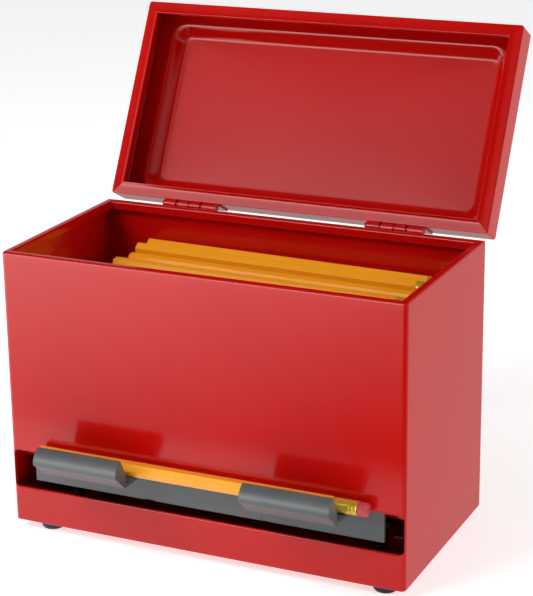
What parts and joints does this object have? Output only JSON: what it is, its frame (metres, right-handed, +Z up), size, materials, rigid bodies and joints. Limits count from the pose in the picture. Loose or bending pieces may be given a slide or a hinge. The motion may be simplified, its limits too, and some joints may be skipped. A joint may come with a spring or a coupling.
{
  "type": "desk pencil dispenser",
  "caption": "Red sheet-steel pencil dispenser: a hinged-lid hopper with a sloping floor over a sprung plastic cradle that brings one pencil out through a slot in the front.",
  "frame": {"origin": "centre of the overall outline, lid open and resting on its stops, on the surface that the feet stand on", "axes": "+Z up, +X to the right and -Y towards the user who faces the dispensing slot"},
  "size_m": [0.228, 0.2148, 0.263],
  "materials": {
    "red_enamel": "glossy red enamel on sheet steel",
    "zinc_steel": "zinc-plated, satin",
    "black_steel": "blackened, oiled",
    "grey_plastic": "satin moulded grey",
    "black_rubber": "matt moulded",
    "pencil_lacquer": "glossy yellow-orange lacquer, bare wood at the cut end",
    "graphite": "graphite core",
    "ferrule_brass": "bright lacquered, crimped",
    "eraser_rubber": "matt pink-red"
  },
  "bodies": {
    "case": {"case_wrap": "red_enamel", "back_panel": "red_enamel", "base_plate": "red_enamel", "hopper_floor": "red_enamel", "pivot_rod": "zinc_steel", "left_pivot_bracket": "red_enamel", "right_pivot_bracket": "red_enamel", "bracket_rivets": "zinc_steel", "rod_clips": "zinc_steel", "left_return_spring": "black_steel", "right_return_spring": "black_steel", "spring_guides": "black_steel", "up_stops": "black_rubber", "left_hinge_case_leaf": "red_enamel", "left_hinge_pin": "red_enamel", "right_hinge_case_leaf": "red_enamel", "right_hinge_pin": "red_enamel", "case_hinge_rivets": "red_enamel", "front_left_foot": "black_rubber", "front_right_foot": "black_rubber", "back_left_foot": "black_rubber", "back_right_foot": "black_rubber", "foot_screws": "zinc_steel", "foot_nuts": "zinc_steel", "stock_pencil_wood": "pencil_lacquer", "stock_pencil_leads": "graphite", "stock_pencil_ferrules": "ferrule_brass", "stock_pencil_erasers": "eraser_rubber"},
    "lid": {"lid_shell": "red_enamel", "left_hinge_lid_leaf": "red_enamel", "right_hinge_lid_leaf": "red_enamel", "lid_hinge_rivets": "red_enamel"},
    "cradle": {"cradle": "grey_plastic"},
    "ready_pencil": {"ready_pencil_wood": "pencil_lacquer", "ready_pencil_lead": "graphite", "ready_pencil_ferrule": "ferrule_brass", "ready_pencil_eraser": "eraser_rubber"}
  },
  "joints": [
    {"name": "lid_hinge", "type": "hinge", "parent": "case", "child": "lid", "pos_m": [0, 0.03807, 0.1584], "axis": [-1, 0, 0], "range_deg": [-118, 0]},
    {"name": "cradle_press", "type": "hinge", "parent": "case", "child": "cradle", "pos_m": [0, -0.01438, 0.029], "axis": [1, 0, 0], "range_deg": [0, 8], "stiffness_Nm_per_rad": 1.44, "springref_deg": -4.58, "deforming": ["left_return_spring", "right_return_spring"]},
    {"name": "ready_pencil_lift", "type": "slide", "parent": "cradle", "child": "ready_pencil", "axis": [0, 0, 1], "range_m": [0, 0.05]}
  ]
}
